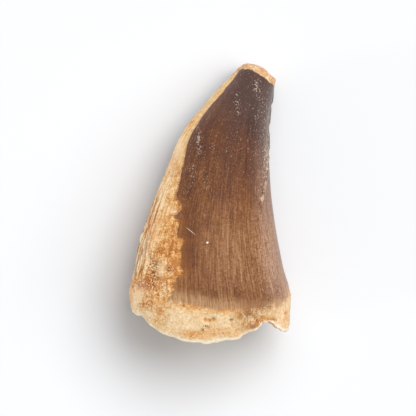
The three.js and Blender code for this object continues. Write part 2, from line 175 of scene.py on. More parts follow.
# Soft patches: across, along, half width, half length, strength, and the face, 1 for the upper face and 0 for
# the underside. A strength below zero takes away from the others.
PATCHES = {
    # Crumbly places on the dentine and the root, in relief and colour.
    "crumbly": [
        (-9.2, -11.0, 1.5, 3.2, 0.5, 1), (-7.0, -7.2, 1.6, 2.6, 0.25, 1), (-7.6, -14.0, 2.4, 1.2, 0.4, 1),
        (7.6, -19.0, 1.6, 0.9, 0.25, 1), (-10.6, -16.4, 1.7, 1.5, 0.7, 1), (-10.7, -13.3, 1.4, 1.0, 0.6, 1),
    ],
    # Lighter and darker places in the enamel.
    "tone": [
        (-3.6, -7.2, 1.6, 5.0, -0.3, 1), (-3.6, 1.5, 1.2, 3.4, -0.1, 1), (-1.5, 1.2, 1.2, 2.4, 0.12, 1),
        (0.8, 13.4, 1.8, 3.0, 0.16, 1), (3.4, -7.8, 1.7, 3.0, 0.12, 1), (3.6, -13.0, 3.0, 1.6, 0.05, 1),
        (5.0, -1.0, 1.4, 1.6, 0.06, 1), (0.5, 8.5, 2.2, 4.0, 0.08, 1), (7.0, 12, 1.4, 6.0, -0.2, 1),
        (5.4, 15.8, 2.0, 3.0, -0.25, 1), (8.9, 12, 1.0, 7.0, -0.25, 1), (-1.3, -5.4, 0.6, 1.0, 0.2, 1),
        (3.0, -2.5, 3.0, 4.0, 0.1, 1), (8.6, -6.0, 2.2, 7.0, 0.12, 1), (2.0, -3.0, 4.0, 6.0, 0.12, 0),
    ],
    # Where the enamel is pitted and specked.
    "specked": [
        (-2.0, 9.2, 0.6, 2.8, 1.1, 1), (-3.0, 4.6, 0.8, 1.8, 0.85, 1), (-3.8, 0.8, 1.0, 2.0, 0.5, 1),
        (-0.7, 2.8, 0.8, 1.6, 0.6, 1), (7.2, 19.0, 0.5, 1.1, 0.55, 1), (7.0, 17.8, 0.6, 1.0, 0.7, 1),
        (4.1, 15.2, 0.5, 2.6, 0.85, 1), (7.6, 13.4, 1.6, 5.0, 0.5, 1), (9.0, 9.6, 0.8, 6.0, 0.95, 1),
        (8.4, 5.6, 0.8, 3.0, 0.9, 1), (7.8, 1.0, 0.8, 3.4, 0.6, 1), (3.4, 7.2, 3.0, 3.0, 0.35, 1),
        (7.4, -10.0, 3.0, 4.0, 0.3, 1), (0.0, 8.0, 4.0, 6.0, 0.5, 0), (1.0, -6.0, 4.0, 5.0, 0.3, 0),
    ],
    # Orange and ochre stains on the bare dentine and the root; those below zero are painted light in shaded
    # places.
    "stain_and_painted_light": [
        (-9.2, -2.4, 1.1, 1.8, 0.55, 1), (-11.0, -7.6, 0.9, 3.2, -0.12, 1), (-9.8, -4.4, 0.8, 1.6, 0.3, 1),
        (-7.8, -8.2, 1.1, 1.2, 0.85, 1), (-6.6, -6.2, 1.4, 2.0, 0.5, 1), (-9.4, -12.6, 2.2, 1.2, 0.8, 1),
        (-10.6, -11.6, 0.7, 1.2, 0.5, 1), (-9.2, -9.6, 0.8, 1.6, 0.5, 1), (-9.0, -16.2, 1.9, 1.3, 0.45, 1),
        (-8.2, -18.4, 1.2, 1.6, 0.5, 1), (-5.4, -16.0, 1.2, 0.8, 0.3, 1), (-2.4, -16.8, 3.2, 0.6, 0.85, 1),
        (2.0, -17.4, 2.0, 0.6, 0.8, 1), (6.3, -16.6, 2.3, 1.5, 0.6, 1), (6.4, -20.4, 1.4, 1.0, 0.8, 1),
        (7.9, -19.2, 1.5, 0.6, 0.75, 1), (4.2, -18.2, 0.9, 0.5, 0.4, 1), (-0.3, -19.05, 1.0, 0.3, 0.7, 1),
        (-2.2, -18.0, 1.2, 0.8, 0.25, 1), (4.3, -19.5, 1.4, 1.0, 0.25, 1), (-4.0, -21.2, 1.4, 0.5, 0.4, 1),
        (3.2, -21.3, 1.6, 0.5, 0.4, 1), (-2.2, -21.2, 2.6, 0.6, 0.6, 1), (1.2, -20.8, 1.6, 0.9, 0.3, 1),
        (9.4, -18.7, 0.9, 0.4, 0.6, 1), (11.8, -18.2, 0.25, 0.9, 0.6, 1), (12.4, -19.6, 0.9, 1.6, 0.25, 1),
        (-10.2, -15.0, 0.9, 0.9, 0.35, 1), (-12.2, -15.8, 0.9, 1.8, -0.4, 1), (-5.6, 8.6, 1.2, 1.8, -0.3, 1),
        (-3.2, 12.2, 1.0, 2.4, 0.2, 1), (-10.6, -16.6, 1.0, 0.8, 0.6, 1), (-12.9, -15.8, 0.35, 1.6, 0.8, 1),
        (-8.0, -6.0, 3.0, 6.0, 0.6, 0), (2.0, -17.0, 4.0, 1.4, 0.6, 0), (8.6, -18.2, 2.0, 1.6, 0.5, 0),
    ],
    # Pinkish places.
    "pink": [
        (-9.6, -4.2, 1.2, 4.0, 0.4, 1), (-6.6, 6.0, 0.6, 1.4, 1.1, 1), (8.6, -20.4, 3, 1, 0.4, 1),
        (11.6, -18.6, 1.6, 2.4, 0.55, 1), (-11.6, -14.6, 1.4, 0.7, 0.8, 1), (-12.4, -16.4, 0.8, 1.4, 0.6, 1),
    ],
    # Red-brown stains.
    "brown": [
        (6.4, -15.8, 2.6, 1.0, 0.7, 1), (6.0, -18.0, 2.0, 1.5, 1.25, 1), (-6.0, 6.2, 0.5, 1.3, 0.5, 1),
        (-5.3, 4.3, 0.4, 0.4, 0.35, 1), (-6.6, 3.9, 0.9, 0.3, 0.6, 1), (-6.0, -6.6, 1.2, 2.4, 0.2, 1),
        (-6.3, -11.0, 1.1, 1.8, 0.85, 1), (-5.9, -1.2, 1.0, 1.4, 0.2, 1), (6.4, -20.4, 1.4, 1.0, 1.3, 1),
        (8.4, -17.0, 1.1, 0.7, 0.5, 1), (-10.9, -13.5, 1.7, 0.8, 1.5, 1), (-9.0, -13.2, 1.4, 0.8, 0.35, 1),
        (-7.9, -13.0, 0.8, 0.7, 0.3, 1), (-9.4, -10.6, 0.8, 2.0, 0.45, 1), (-9.9, -6.6, 0.35, 2.4, 0.4, 1),
        (-8.0, -17.4, 1.4, 1.2, 0.15, 1), (-7.0, -19.0, 0.9, 0.8, 0.25, 1), (8.0, -19.3, 1.0, 0.5, 0.4, 1),
        (10.4, -17.6, 2.4, 1.4, 0.25, 1),
    ],
    # Pale, chalky places, and painted light on the front edge's bare strip and the root's front lobe, in
    # shade.
    "chalk_and_painted_light": [
        (-11.6, -15.0, 1.2, 0.8, 0.6, 1), (-12.6, -15.0, 0.8, 1.6, 0.4, 1), (-8.6, 2.6, 0.7, 2.6, 0.5, 1),
        (-6.9, 6.4, 0.6, 2.4, 0.5, 1), (-3.4, -18.6, 3.0, 1.2, 0.25, 1), (2.2, -18.9, 1.6, 1.2, 0.3, 1),
        (11.4, -17.6, 1.4, 2.2, 0.4, 1), (-8.3, -11.1, 0.6, 1.1, 1.3, 1), (-6.3, -1.8, 0.9, 0.28, 1.5, 1),
        (-10.8, -11.2, 0.6, 1.6, 0.25, 1), (-5.4, 8.4, 1.0, 2.4, 0.45, 1), (-12.4, -16.3, 0.8, 1.2, 0.4, 1),
        (-10.3, -18.1, 0.9, 0.6, 0.6, 1), (12.7, -14.9, 0.5, 1.2, 0.9, 1), (9.5, -16, 2, 1.4, 0.6, 0),
    ],
    # Places with black and white mineral specks.
    "soot": [
        (-9.4, -10.9, 0.9, 2.1, 1.3, 1), (-8.3, -11.1, 0.7, 1.2, -1.2, 1), (-5.6, -2.6, 0.6, 0.6, 1.6, 1),
        (-6.9, -11.2, 0.6, 1.2, 0.6, 1), (7.9, -19.3, 1.0, 0.6, 0.9, 1), (9.1, -17.2, 0.5, 0.4, 0.8, 1),
        (-1.4, -20.7, 0.25, 0.25, 1.3, 1), (-0.6, -20.1, 0.9, 0.25, 0.7, 1), (3.2, -19.0, 0.6, 0.5, 0.52, 1),
        (4.4, -18.7, 0.5, 0.3, 0.52, 1), (10.1, -19.2, 0.5, 0.3, 0.8, 1),
    ],
}  # fmt: skip

# ---- Colours as on a screen, from 0 to 255 ----
ENAMEL_TONES = [
    (0.0, (60, 40, 34)), (0.25, (83, 54, 43)), (0.5, (102, 62, 39)), (0.75, (132, 87, 53)),
    (1.0, (166, 124, 88)),
]  # fmt: skip
DENTINE_TONES = [
    (0.0, (253, 234, 198)), (0.28, (240, 202, 150)), (0.5, (216, 154, 84)), (0.75, (186, 114, 58)),
    (1.0, (116, 66, 36)),
]  # fmt: skip
ROOT_TONES = [
    (0.0, (252, 234, 202)), (0.3, (236, 202, 154)), (0.55, (220, 158, 90)), (0.8, (186, 114, 58)),
    (1.0, (112, 70, 42)),
]  # fmt: skip
SHEEN_DARK, SHEEN_PALE = (134, 98, 78), (196, 162, 138)
BAND_DARK, BAND_PALE, BAND_BROWN = (150, 108, 72), (196, 156, 116), (140, 94, 60)
UPPER_SHEEN, PALE_GRAIN, RUSTY_EDGE = (102, 82, 76), (164, 136, 122), (142, 86, 44)
SPECK, NICK, CHIPPED_RIDGE = (216, 196, 178), (252, 242, 228), (210, 184, 154)
DENTINE_BROWN, ROOT_BROWN = (176, 100, 54), (154, 108, 68)
PINK, CHALK_AND_PAINTED_LIGHT, WORN_TIP = (238, 176, 134), (248, 221, 182), (202, 148, 114)
PORE, HOLLOW_SHADE, RIM_HIGHLIGHT = (146, 98, 58), (176, 112, 54), (255, 247, 228)
SOOT, GLINT = (66, 36, 8), (255, 244, 214)

# ---- The skin: columns run lengthwise, rings go round ----
COLUMNS_UPPER, COLUMNS_BARE, COLUMNS_UNDER, COLUMNS_LEDGE = 84, 70, 130, 3
RINGS_BREAK, RINGS_ROOT, RINGS_CROWN, RINGS_TIP = 50, 28, 222, 20
# How the rings crowd towards the rim and towards the edge of the worn tip.
BREAK_CROWDING, TIP_CROWDING = 0.8, 0.7


def ramp(low, high, x):
    """0 at low and 1 at high, with a smooth start and end. low may be more than high."""
    u = np.clip((x - low) / (high - low), 0, 1)
    return u * u * (3 - 2 * u)


def lerp(a, b, share):
    return a + (b - a) * share


def bump(distance, radius):
    return np.exp(-((distance / radius) ** 2))


def lattice(i, j, k):
    """A repeatable number from -1 to 1 for each point of a whole-number lattice, as in the CAD model."""
    factors = [np.uint32(f) for f in (374761393, 668265263, 1440662683)]
    axes = [axis.astype(np.int64).astype(np.uint32) for axis in (i, j, k)]
    h = np.bitwise_xor.reduce([axis * factor for axis, factor in zip(axes, factors)])
    h = (h ^ (h >> np.uint32(13))) * np.uint32(1274126177)
    return (h ^ (h >> np.uint32(16))) / 2147483648.0 - 1


def noise(x, y, z):
    """Smooth noise from -1 to 1, with lumps about one unit across."""
    x, y, z = np.broadcast_arrays(*(np.asarray(v, float) for v in (x, y, z)))
    i, j, k = (np.floor(v) for v in (x, y, z))
    u, v, w = ramp(0, 1, x - i), ramp(0, 1, y - j), ramp(0, 1, z - k)

    def row(b, c):
        return lerp(lattice(i, j + b, k + c), lattice(i + 1, j + b, k + c), u)

    return lerp(lerp(row(0, 0), row(1, 0), v), lerp(row(0, 1), row(1, 1), v), w)


def roughness(p, across, stretch=None):
    """Two sizes of lumps over each other."""
    x, y, z = p[..., 0] / across, p[..., 1] / (stretch or across), p[..., 2] / across
    return 0.7 * noise(x, y, z) + 0.3 * noise(2.3 * x + 7, 2.3 * y + 3, 2.3 * z + 5)


def spline(knots, t):
    """A smooth line through evenly spaced knots, at shares t of its length."""
    padded = np.vstack([2 * knots[0] - knots[1], knots, 2 * knots[-1] - knots[-2]])
    place = np.clip(t, 0, 1) * (len(knots) - 1)
    first = np.minimum(place.astype(int), len(knots) - 2)
    u = (place - first)[:, None]
    p0, p1, p2, p3 = (padded[first + i] for i in range(4))
    return p1 + 0.5 * u * (p2 - p0 + u * (2 * p0 - 5 * p1 + 4 * p2 - p3 + u * (3 * (p1 - p2) + p3 - p0)))


def along(pairs, place):
    """The value at a place, from pairs of a place and a value."""
    return np.interp(place, [p for p, _ in pairs], [v for _, v in pairs])


class Sections:
    """The sections at shares t of the way from the first station to the last, one row each."""

    def __init__(self, t):
        k = spline(STATIONS, t)
        front, rear = k[:, 0:2] * (WIDTH, LENGTH), k[:, 2:4] * (WIDTH, LENGTH)
        top, under = k[:, 4] * THICKNESS, k[:, 5] * THICKNESS
        self.t = t[:, None]
        self.middle = np.column_stack([(front + rear) / 2, (top + under) / 2])[:, None, :]
        self.half = ((rear - front) / 2)[:, None, :]
        self.rise = ((top - under) / 2)[:, None]
        self.bulge = along(FACE_BULGE, t)[:, None]
        self.ridge = k[:, 6][:, None]
        waver = [LEDGE_WAVER * noise(t * LEDGE_WAVES, side, 0) for side in (1, 2)]
        # The finer waver is too small for the CAD model.
        fine = [
            noise(t * FINE_WAVES, side, 3) + FINER_WAVER * noise(t * FINER_WAVES, side, 6) for side in (1, 2)
        ]
        self.upper = (k[:, 7] + waver[0] + fine[0] + along(FRONT_WAVES, front[:, 1]))[:, None]
        self.under = (k[:, 8] + waver[1] + fine[1])[:, None]
        self.slope = np.degrees(LEDGE / self.half[..., 0])

    def angles(self):
        """The angles of the columns, starting at the cutting ridge."""
        steps = [COLUMNS_UPPER, COLUMNS_LEDGE, COLUMNS_BARE, COLUMNS_LEDGE, COLUMNS_UNDER]
        marks = np.concatenate([[0], np.cumsum(steps)])
        places = np.hstack(
            [
                self.ridge,
                self.upper - self.slope,
                self.upper + self.slope,
                self.under - self.slope,
                self.under + self.slope,
                self.ridge + 360,
            ]
        )
        return np.array([np.interp(np.arange(marks[-1]), marks, row) for row in places])

    def points(self, angle, radius):
        """Points of the sections, at share radius of the way out from their middles."""
        c, s = np.cos(np.radians(angle)), np.sin(np.radians(angle))
        n = np.where(s > 0, TOP_FULLNESS, UNDER_FULLNESS)
        reach = radius * (np.abs(c) ** n + np.abs(s) ** n) ** (-1 / n)
        p = np.zeros(angle.shape + (3,))
        p[..., 0] = self.middle[..., 0] + self.half[..., 0] * c * reach
        p[..., 1] = self.middle[..., 1] + self.half[..., 1] * c * reach + self.bulge * (s * radius) ** 2
        p[..., 2] = self.middle[..., 2] + self.rise * s * reach
        return p


def rim_y(angle):
    """The rim's place along the tooth, with scallops, and finer ones than the CAD model has."""
    c, s = np.cos(np.radians(angle)), np.sin(np.radians(angle))
    reach = SCALLOP_COUNT / (2 * math.pi)
    scallops = SCALLOP_HEIGHT * (1 + noise(reach * c, reach * s, 0)) / 2
    fine = sum(height * noise(pace * c, pace * s, layer) for pace, height, layer in FINE_SCALLOPS)
    return -LENGTH / 2 + along(RIM, angle % 360) + scallops + fine


def root_points(sections, angle, down):
    """Points of the root: down is the share of the way from the neck to the rim."""
    face_share = np.sin(np.radians(angle)) ** 2
    p = sections.points(angle, 1 - lerp(TAPER_EDGES, TAPER_FACES, face_share) * down**TAPER_POWER)
    p[..., 1] = lerp(p[..., 1], rim_y(angle), down)
    return p


def break_points(sections, angle, radius):
    """Points of the break, at share radius of the way out to the rim."""
    p = root_points(sections, angle, 1)
    rear_share = (1 + np.cos(np.radians(angle))) / 2
    dip = ramp(1, 1 - lerp(BREAK_FRONT, BREAK_REAR, rear_share), radius)
    p[..., 0] = lerp(sections.middle[..., 0], p[..., 0], radius)
    p[..., 1] = lerp(p[..., 1], BREAK_HEIGHT - LENGTH / 2, dip)
    p[..., 2] = lerp(sections.middle[..., 2], p[..., 2], radius)
    return p


def tip_rise(radius):
    """How far the worn tip stands out past the last station, at share radius of the way out."""
    return TIP_RISE * (1 - radius**TIP_FULLNESS)


def tip_points(sections, angle, radius):
    p = sections.points(angle, radius)
    p[..., 1] += tip_rise(radius)
    return p


# ---- The skin's points, ring by ring, from the middle of the break to the middle of the tip ----
count = RINGS_BREAK + RINGS_ROOT + RINGS_CROWN + 1 + RINGS_TIP
ring = np.arange(count)
first_crown = RINGS_BREAK + RINGS_ROOT
is_break = ring < RINGS_BREAK
is_root = ~is_break & (ring < first_crown)
is_tip = ring > first_crown + RINGS_CROWN
is_crown = ~(is_break | is_root | is_tip)

t = np.clip((ring - first_crown) / RINGS_CROWN, 0, 1)
sections = Sections(t)
angle = sections.angles()
turn = angle % 360
radius = np.ones((count, 1))
radius[is_break, 0] = (ring[is_break] / RINGS_BREAK) ** BREAK_CROWDING
over_tip = (ring[is_tip] - first_crown - RINGS_CROWN) / RINGS_TIP
radius[is_tip, 0] = np.cos(over_tip * math.pi / 2) ** TIP_CROWDING
down = np.clip((first_crown - ring) / RINGS_ROOT, 0, 1)[:, None]

plain = sections.points(angle, 1)
neck, tip = Sections(np.zeros(1)), Sections(np.ones(1))
plain[is_break] = break_points(neck, angle[is_break], radius[is_break])
plain[is_root] = root_points(neck, angle[is_root], down[is_root])
plain[is_tip] = tip_points(tip, angle[is_tip], radius[is_tip])


def ring_normals(p):
    """Outward normals of the rings. At the two end points they are the normals of the next ring, averaged."""
    round_step = np.roll(p, -1, 1) - np.roll(p, 1, 1)
    along_step = np.gradient(p, axis=0)
    n = np.cross(along_step, round_step)
    n[0], n[-1] = n[1].mean(0), n[-2].mean(0)
    return n / np.maximum(np.linalg.norm(n, axis=-1, keepdims=True), 1e-12)


# ---- Where on the tooth each point is ----
upward = np.sin(np.radians(angle))
on_upper = ramp(-0.3, 0.3, upward)
x, y = plain[..., 0], plain[..., 1]


def from_turn(direction):
    """How many degrees round the tooth each point is from a direction."""
    return np.abs((angle - direction + 180) % 360 - 180)


def round_tooth(pairs):
    """Values picked by the angle round the tooth."""
    return np.interp(turn, [a for a, _ in pairs], [v for _, v in pairs], period=360)


def patches(name):
    """How far each point is inside the soft patches of this name."""
    total = np.zeros(angle.shape)
    for across, lengthwise, half_wide, half_long, strength, face in PATCHES[name]:
        reach = np.hypot((x - across) / half_wide, (y - lengthwise) / half_long)
        total += strength * np.exp(-(reach**2)) * (on_upper if face else 1 - on_upper)
    return total * radius**3


def layers(table):
    """Lumps of several sizes over each other, all over the skin."""
    return sum(height * roughness(plain, *sizes) for height, *sizes in table)


# ---- Relief that the CAD model has too ----
no_enamel = ramp(sections.upper - sections.slope, sections.upper + sections.slope, angle)
no_enamel = no_enamel * ramp(sections.under + sections.slope, sections.under - sections.slope, angle)
covered = np.where(is_crown[:, None], 1 - no_enamel, 0)
covered[is_tip] = ((1 - no_enamel) * ramp(0.05, 0.0, 1 - radius))[is_tip]
covered[is_root] = ((1 - no_enamel) * ramp(0.1, 0.0, down))[is_root]
thickness = ENAMEL * lerp(NECK_ENAMEL_SHARE, 1, ramp(0, NECK_ENAMEL_UNTIL, sections.t))
from_ridge = np.radians(np.minimum(np.abs(angle - sections.ridge), np.abs(angle - sections.ridge - 360)))
from_ridge = from_ridge * sections.half[..., 0]
crest = RIDGE_HEIGHT * bump(from_ridge, RIDGE_WIDTH)
crest = crest * ramp(*RIDGE_NECK, sections.t) * ramp(*RIDGE_TIP, sections.t)
# The ridge's chips are too small for the CAD model.
chips = ramp(-0.1, 0.5, layers(CHIP_LAYERS)) * ramp(*CHIPPED_FROM, sections.t)
crest = crest * (1 - CHIP_SHARE * chips)

near_neck = ramp(FLUTE_UNTIL, 0, sections.t)
flutes = FLUTE_HEIGHT * roughness(plain, FLUTE_ACROSS, FLUTE_ALONG) * near_neck * is_crown[:, None]
bare_relief = LUMP_HEIGHT * roughness(plain, LUMP_SIZE) + flutes
bare_relief[is_break] += (RUBBLE_HEIGHT * roughness(plain, RUBBLE_SIZE))[is_break]
bare_relief[is_tip] = (TIP_LUMP_HEIGHT * roughness(plain, TIP_LUMP_SIZE))[is_tip]
relief = lerp(bare_relief, thickness + crest, covered)
on_upper_skin = (upward > 0) & ~is_break[:, None]
for across, lengthwise, size, depth in PITS:
    relief -= on_upper_skin * depth * bump(np.hypot(x - across, y - lengthwise), size)

# ---- Relief that is too fine for it: fibres down the front edge, pores and pits, rubble in the break ----
rng = np.random.default_rng(7)


def pits(number, rings, angles, sizes):
    """Small pits at random places on some rings between two angles. Where they are, from 0 to 1."""
    chosen = np.flatnonzero(rings)
    total = np.zeros(angle.shape)
    for _ in range(number):
        i = rng.choice(chosen)
        j = np.argmin(np.abs(turn[i] - rng.uniform(*angles)))
        size = rng.uniform(*sizes)
        away = (plain - plain[i, j]) / (size * np.array([1, rng.uniform(0.6, 1.4), 1]))
        total = np.maximum(total, rng.uniform(0.4, 1) * np.exp(-((away**2).sum(-1) ** 1.5)))
    return total


low_half = is_crown & (t < 0.5)
pores = (
    pits(50, is_root, (190, 355), (0.18, 0.5))
    + 0.5 * pits(24, is_root & (down[:, 0] < 0.85), (20, 170), (0.12, 0.2))
    + pits(30, low_half, (150, 205), (0.15, 0.35))
    + 0.6 * pits(30, low_half, (112, 160), (0.12, 0.2))
    + pits(16, is_crown & ~low_half, (140, 200), (0.1, 0.25))
    + pits(90, is_break & (radius[:, 0] < 0.9), (0, 360), (0.12, 0.6))
)
small_pits = np.zeros(angle.shape)
for across, lengthwise, size, depth in SMALL_PITS:
    small_pits += on_upper_skin * depth * bump(np.hypot(x - across, y - lengthwise), size)
crumbly_part = patches("crumbly")
front_edge = ramp(140, 160, turn) * ramp(235, 215, turn)
fibrous = (front_edge * ramp(0.53, 0.4, sections.t) * ramp(0.12, 0.25, sections.t) + 0.2) * is_crown[:, None]
fine_relief = fibrous * layers(FIBRE_LAYERS)
rubble = 0.5 * roughness(plain, 1.3) + 0.4 * np.abs(roughness(plain, 0.8)) + 0.26 * roughness(plain, 0.42)
fine_relief += np.where(is_break[:, None], rubble * ramp(1, 0.93, radius), 0)
fine_relief += np.where((is_root | is_tip)[:, None], layers(ROOT_AND_TIP_LAYERS), 0)
fine_relief += layers(GRAIN_LAYERS) + crumbly_part * layers(CRUMB_LAYERS)
fine_relief = (fine_relief - PORE_DEPTH * pores - small_pits) * (1 - covered)
# How deep each point lies in the fine relief, for the shade painted into its hollows.
hollow_shade = np.where(is_break[:, None], ramp(0.25, -0.5, fine_relief), ramp(-0.02, -0.16, fine_relief))
skin = plain + ring_normals(plain) * (relief + fine_relief)[..., None]
skin[..., 2] = np.maximum(skin[..., 2], 0)

# ---- The mesh ----
columns = angle.shape[1]
vertices = np.vstack([skin[0, :1], skin[1:-1].reshape(-1, 3), skin[-1, :1]])
inner = np.arange((count - 2) * columns).reshape(count - 2, columns) + 1
beside = np.roll(inner, -1, 1)
quads = np.stack([inner[:-1], inner[1:], beside[1:], beside[:-1]], -1).reshape(-1, 4)
start_fan = np.stack([np.zeros(columns, int), inner[0], beside[0]], -1)
end_fan = np.stack([inner[-1], np.full(columns, len(vertices) - 1), beside[-1]], -1)
faces = quads.tolist() + start_fan.tolist() + end_fan.tolist()

# Over the floor, the middle of its box goes where the middle of the CAD model's box is.
cad_middle = (cad_low + cad_high) / 2 / MM
skin_middle = (vertices.max(0) + vertices.min(0))[:2] / 2
shift = np.array([*cad_middle[:2], 0]) - [*skin_middle, 0]
mesh = bpy.data.meshes.new("tooth_skin")
mesh.from_pydata(((vertices + shift) * MM).tolist(), [], faces)
mesh.polygons.foreach_set("use_smooth", np.ones(len(mesh.polygons), bool))
tooth = bpy.data.objects.new("tooth_skin", mesh)
bpy.context.scene.collection.objects.link(tooth)

# ---- What the material reads on each point of the skin, with lengths in millimetres ----
# How much longer than its rise the way over the worn tip is.
TIP_ARC = 1.2
# The root's usual length, and how steeply the distance from the rim counts into the break and up the root.
ROOT_LENGTH, RIM_INWARDS, RIM_UPWARDS = 6, 36, 5
# The radius of the cylinder that the lengthwise grain is wrapped round.
GRAIN_RADIUS = 12


def store(name, *values):
    """Puts a number, or a vector of three numbers, on each point of the mesh."""
    flat = [np.broadcast_to(v, angle.shape) for v in values]
    data = np.column_stack([np.concatenate([v[0, :1], v[1:-1].ravel(), v[-1, :1]]) for v in flat])
    kind, field = ("FLOAT", "value") if len(values) == 1 else ("FLOAT_VECTOR", "vector")
    mesh.attributes.new(name, kind, "POINT").data.foreach_set(field, data.astype(np.float32).ravel())


# Distances into the enamel from its three edges. Beyond an edge they are below zero.
arc = np.hypot(sections.half[..., 0] * np.sin(np.radians(angle)), sections.rise * np.cos(np.radians(angle)))
short_of_bare = np.minimum(np.abs(sections.upper - angle), np.abs(angle - sections.under))
side = np.where((angle > sections.upper) & (angle < sections.under), -1, 1) * np.radians(short_of_bare) * arc
store("side", side)
steps = np.linalg.norm(np.diff(sections.middle[:, 0], axis=0), axis=1)
up_crown = np.concatenate([[0], np.cumsum(steps)])[:, None]
cap = tip_rise(radius) * TIP_ARC
store("tip", np.where(is_tip[:, None], -cap, up_crown[-1] - up_crown) - round_tooth(TIP_EDGE))
neck_height = np.where(is_crown | is_tip, up_crown[:, 0], 0)[:, None] - down * ROOT_LENGTH
neck_height = neck_height - is_break[:, None] * (ROOT_LENGTH + 1 - radius) + round_tooth(NECK_EDGE)
store("neck", neck_height)
store("foot", neck_height * round_tooth(FOOT_SHARPNESS))
# How far up the dull band just above the root: 0 at its foot, 1 at its top.
store("band", neck_height / BAND_HEIGHT)
store("ridge", from_ridge + (radius < 1))
store("chips", chips)
# Where the painted sheen lies on the rear edge.
store("painted_sheen", ramp(SHEEN_GONE, SHEEN_FULL, from_turn(SHEEN_MIDDLE)) * (is_crown | is_root)[:, None])
store("rim", np.where(is_break[:, None], (1 - radius) * RIM_INWARDS, (1 - down) * RIM_UPWARDS))
store("grain", GRAIN_RADIUS * np.cos(np.radians(angle)), GRAIN_RADIUS * np.sin(np.radians(angle)), y)
store("pores", (pores + 3 * small_pits) * (1 - covered))
store("hollow_shade", hollow_shade * (1 - covered))
store("crumbly", crumbly_part)
store("fibrous", fibrous)

# Beside the edge between them the dentine is ochre, and the enamel's upper face has painted light. Round the
# front edge it is stained.
tone = along(TONE_ALONG, y)
# Painted light: the enamel's upper face is lighter beside its edge with the bare dentine.
tone += 0.16 * on_upper * np.exp(-np.maximum(side, 0) / EDGE_REACH)
store("tone", tone + patches("tone"))
beside_enamel = np.exp(-np.maximum(-side, 0) / EDGE_REACH) * (side < 0.3) * on_upper
beside_enamel = beside_enamel * (is_crown | is_tip)[:, None]
edge_stain = 0.12 * bump(turn - 164, 22) * ramp(-18, -14, y) * ramp(2, -1, y)
store("stain_and_painted_light", edge_stain + along(OCHRE_ALONG, y) * beside_enamel + patches("stain_and_painted_light"))
for name in ("specked", "pink", "brown", "chalk_and_painted_light", "soot"):
    store(name, patches(name))

# ---- The material ----
material = bpy.data.materials.new("fossil_tooth")
material.use_nodes = True
tree = material.node_tree
shader = tree.nodes["Principled BSDF"]


def node(kind, settings, *inputs):
    """Adds a node. Each input is another node's output, a constant, or None to leave it as it is."""
    new = tree.nodes.new("ShaderNode" + kind)
    for name, value in settings.items():
        setattr(new, name, value)
    for socket, value in zip(new.inputs, inputs):
        if isinstance(value, bpy.types.NodeSocket):
            tree.links.new(value, socket)
        elif value is not None:
            socket.default_value = value
    return new.outputs[0]


def read(name, output="Fac"):
    attribute = tree.nodes.new("ShaderNodeAttribute")
    attribute.attribute_name = name
    return attribute.outputs[output]


def calc(operation, a, b, c=None):
    return node("Math", {"operation": operation}, a, b, c)


def add(*values):
    total = values[0]
    for value in values[1:]:
        total = calc("ADD", total, value)
    return total


def times(*values):
    total = values[0]
    for value in values[1:]:
        total = calc("MULTIPLY", total, value)
    return total


def line(value, start, rise):
    """start where value is 0, and rise more where it is 1."""
    return calc("MULTIPLY_ADD", value, rise, start)


def without(value):
    return calc("SUBTRACT", 1, value)


def larger(a, b):
    return calc("MAXIMUM", a, b)


def fade(value, low, high):
    """0 where value is at low and 1 at high, with a smooth start and end. low may be more than high."""
    if low > high:
        return without(fade(value, high, low))
    return node("MapRange", {"interpolation_type": "SMOOTHSTEP"}, value, low, high)


def stretched(vector, x_scale, y_scale, z_scale):
    return node("VectorMath", {"operation": "MULTIPLY"}, vector, (x_scale, y_scale, z_scale))


def cloud(vector, scale, detail, rough=0.55):
    """Noise from about -1 to 1."""
    new = tree.nodes.new("ShaderNodeTexNoise")
    tree.links.new(vector, new.inputs["Vector"])
    for name, value in (("Scale", scale), ("Detail", detail), ("Roughness", rough)):
        new.inputs[name].default_value = value
    return line(new.outputs[0], -2, 4)


def colour(screen):
    """A colour given as on a screen, from 0 to 255."""
    return (*[((c / 255 + 0.055) / 1.055) ** 2.4 if c > 10 else c / 3295 for c in screen], 1)


def mix(share, a, b):
    return node("MixRGB", {}, share, a, b)


def between(share, a, b):
    """A mix of two screen colours."""
    return mix(share, colour(a), colour(b))


def tint(base, screen, *shares):
    """A screen colour laid over a base, as strongly as the shares say together."""
    return mix(times(*shares), base, colour(screen))


def scale_of(value, stops):
    """A colour picked by a value, from stops of a place and a screen colour."""
    new = tree.nodes.new("ShaderNodeValToRGB")
    tree.links.new(value, new.inputs[0])
    elements = new.color_ramp.elements
    while len(elements) < len(stops):
        elements.new(1)
    for element, (position, screen) in zip(elements, stops):
        element.position, element.color = position, colour(screen)
    return new.outputs[0]


def dots(scale, size, share):
    """Small round dots scattered one to a cell, with the cells left out where share is low."""
    cells = tree.nodes.new("ShaderNodeTexVoronoi")
    tree.links.new(place, cells.inputs["Vector"])
    cells.inputs["Scale"].default_value = scale
    chance = node("SeparateColor", {}, cells.outputs["Color"])
    from_middle = add(cells.outputs["Distance"], times(crumbs, 0.2), times(grit, 0.08))
    return times(fade(from_middle, size * 1.5, size * 0.5), fade(add(chance, share), 0.85, 1.25))


def mark(across, lengthwise, direction, long, wide):
    """A short straight mark on the upper face, its direction in degrees from across."""
    fitted = tree.nodes.new("ShaderNodeMapping")
    fitted.vector_type = "TEXTURE"
    tree.links.new(place, fitted.inputs["Vector"])
    fitted.inputs["Location"].default_value = (across, lengthwise, 0)
    fitted.inputs["Rotation"].default_value = (0, 0, math.radians(direction))
    # The third size only has to be far larger than the tooth.
    fitted.inputs["Scale"].default_value = (long / 2, wide / 2, 1000)
    reach = node("VectorMath", {"operation": "LENGTH"}, fitted.outputs[0])
    return times(fade(reach.node.outputs["Value"], 1.25, 0.6), upper_face)


